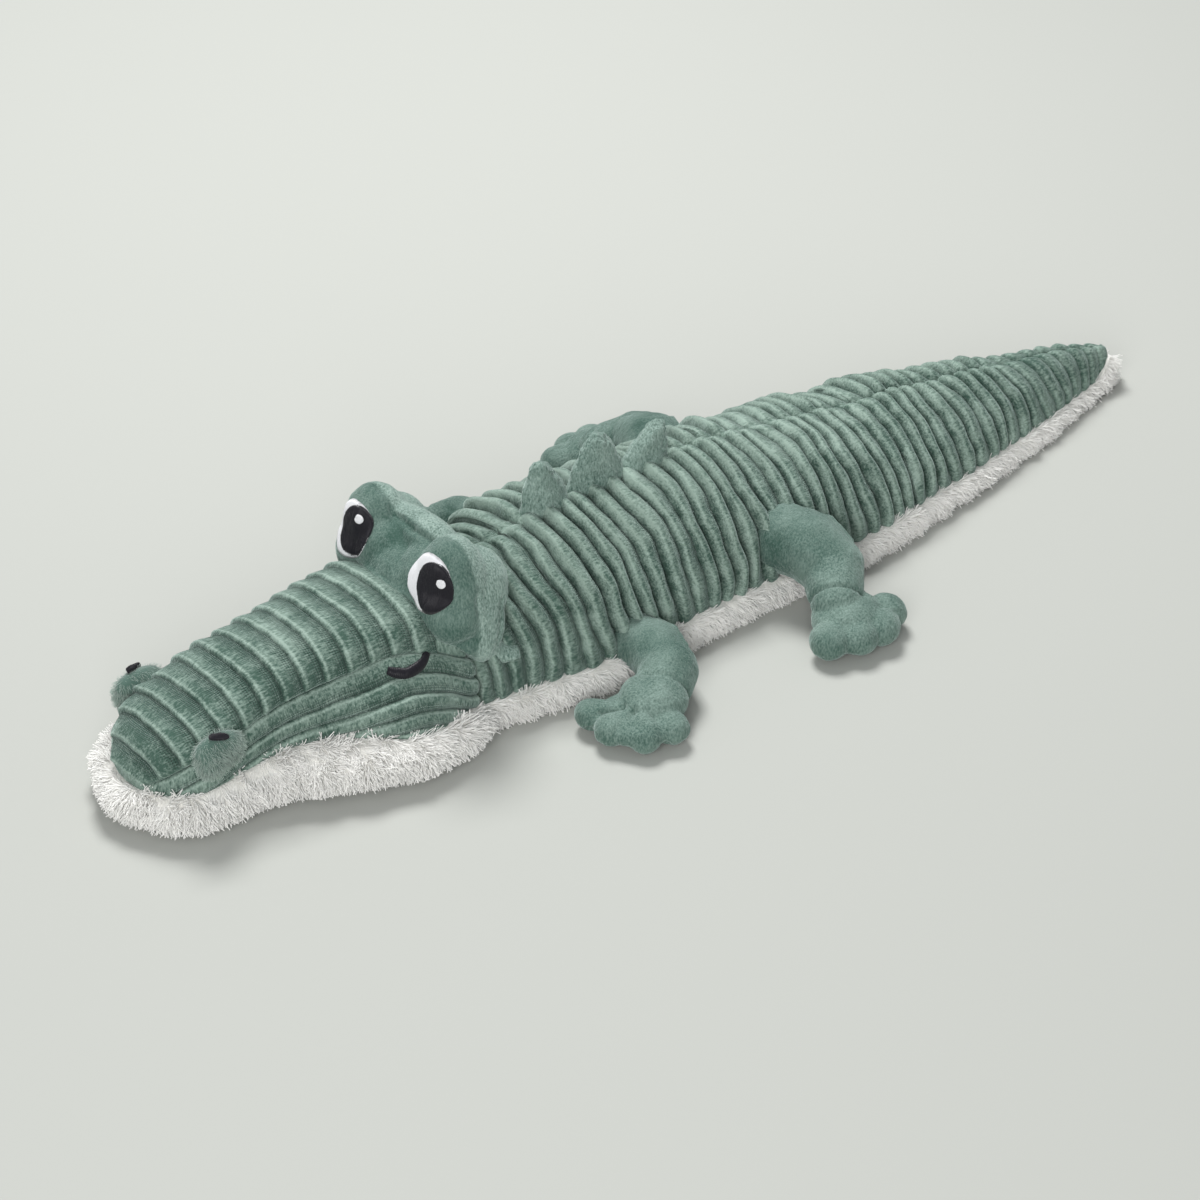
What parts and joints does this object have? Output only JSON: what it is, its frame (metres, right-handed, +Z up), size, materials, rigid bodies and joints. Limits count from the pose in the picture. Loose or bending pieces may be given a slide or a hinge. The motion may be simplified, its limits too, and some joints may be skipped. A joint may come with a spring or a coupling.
{
  "type": "plush crocodile",
  "caption": "Long plush crocodile with ribbed back panels, a white long-pile belly, embroidered eyes on domes, soft back spikes, and a head, tail and legs that bend at their seams.",
  "frame": {"origin": "middle of the bounding box at floor level, under the belly", "axes": "-X towards the nose and +X towards the tail, +Z up, -Y the animal's left side"},
  "size_m": [1.0374, 0.3994, 0.164],
  "materials": {
    "ribbed_teal_plush": "wide-rib velvet plush",
    "short_teal_plush": "short pile",
    "white_long_pile": "long soft pile",
    "polyester_filling": "loose fibre",
    "white_thread": "satin stitch",
    "black_thread": "satin stitch"
  },
  "bodies": {
    "torso": {"torso_back_panel_left": "ribbed_teal_plush", "torso_back_panel_right": "ribbed_teal_plush", "torso_belly_panel": "white_long_pile", "torso_filling": "polyester_filling", "back_spike_1": "short_teal_plush", "back_spike_2": "short_teal_plush", "back_spike_3": "short_teal_plush"},
    "head": {"snout_panel": "ribbed_teal_plush", "eye_hood": "short_teal_plush", "chin_panel": "white_long_pile", "head_filling": "polyester_filling", "neck_sleeve": "short_teal_plush", "neck_filling": "polyester_filling", "cheek_panel_left": "ribbed_teal_plush", "eye_dome_left": "short_teal_plush", "eye_white_left": "white_thread", "eye_pupil_left": "black_thread", "eye_highlight_left": "white_thread", "nostril_tab_left": "short_teal_plush", "nostril_slit_left": "black_thread", "mouth_stitch_left": "black_thread", "cheek_panel_right": "ribbed_teal_plush", "eye_dome_right": "short_teal_plush", "eye_white_right": "white_thread", "eye_pupil_right": "black_thread", "eye_highlight_right": "white_thread", "nostril_tab_right": "short_teal_plush", "nostril_slit_right": "black_thread", "mouth_stitch_right": "black_thread"},
    "tail_base": {"tail_base_back_panel_left": "ribbed_teal_plush", "tail_base_back_panel_right": "ribbed_teal_plush", "tail_base_belly_panel": "white_long_pile", "tail_base_filling": "polyester_filling"},
    "tail_tip": {"tail_tip_back_panel_left": "ribbed_teal_plush", "tail_tip_back_panel_right": "ribbed_teal_plush", "tail_tip_belly_panel": "white_long_pile", "tail_tip_filling": "polyester_filling", "tail_end_fur": "white_long_pile"},
    "front_limb_left": {"front_leg_left": "short_teal_plush", "front_foot_left": "short_teal_plush"},
    "front_limb_right": {"front_leg_right": "short_teal_plush", "front_foot_right": "short_teal_plush"},
    "rear_limb_left": {"rear_leg_left": "short_teal_plush", "rear_foot_left": "short_teal_plush"},
    "rear_limb_right": {"rear_leg_right": "short_teal_plush", "rear_foot_right": "short_teal_plush"}
  },
  "joints": [
    {"name": "head_turn", "type": "hinge", "parent": "torso", "child": "head", "pos_m": [-0.2293, 0, 0.06], "axis": [0, 0, 1], "range_deg": [-10, 10], "stiffness_Nm_per_rad": 0.3},
    {"name": "tail_base_bend", "type": "hinge", "parent": "torso", "child": "tail_base", "pos_m": [0.1227, 0, 0.05], "axis": [0, 0, 1], "range_deg": [-15, 15], "stiffness_Nm_per_rad": 0.3},
    {"name": "tail_tip_bend", "type": "hinge", "parent": "tail_base", "child": "tail_tip", "pos_m": [0.3147, 0, 0.04], "axis": [0, 0, 1], "range_deg": [-20, 20], "stiffness_Nm_per_rad": 0.15},
    {"name": "front_hip_left", "type": "hinge", "parent": "torso", "child": "front_limb_left", "pos_m": [-0.0963, -0.096, 0.02], "axis": [0, 0, 1], "range_deg": [-15, 25], "stiffness_Nm_per_rad": 0.05},
    {"name": "front_hip_right", "type": "hinge", "parent": "torso", "child": "front_limb_right", "pos_m": [-0.0963, 0.096, 0.02], "axis": [0, 0, 1], "range_deg": [-25, 15], "stiffness_Nm_per_rad": 0.05},
    {"name": "rear_hip_left", "type": "hinge", "parent": "torso", "child": "rear_limb_left", "pos_m": [0.0747, -0.09, 0.045], "axis": [0, 0, 1], "range_deg": [-25, 25], "stiffness_Nm_per_rad": 0.05},
    {"name": "rear_hip_right", "type": "hinge", "parent": "torso", "child": "rear_limb_right", "pos_m": [0.0747, 0.09, 0.045], "axis": [0, 0, 1], "range_deg": [-25, 25], "stiffness_Nm_per_rad": 0.05}
  ]
}
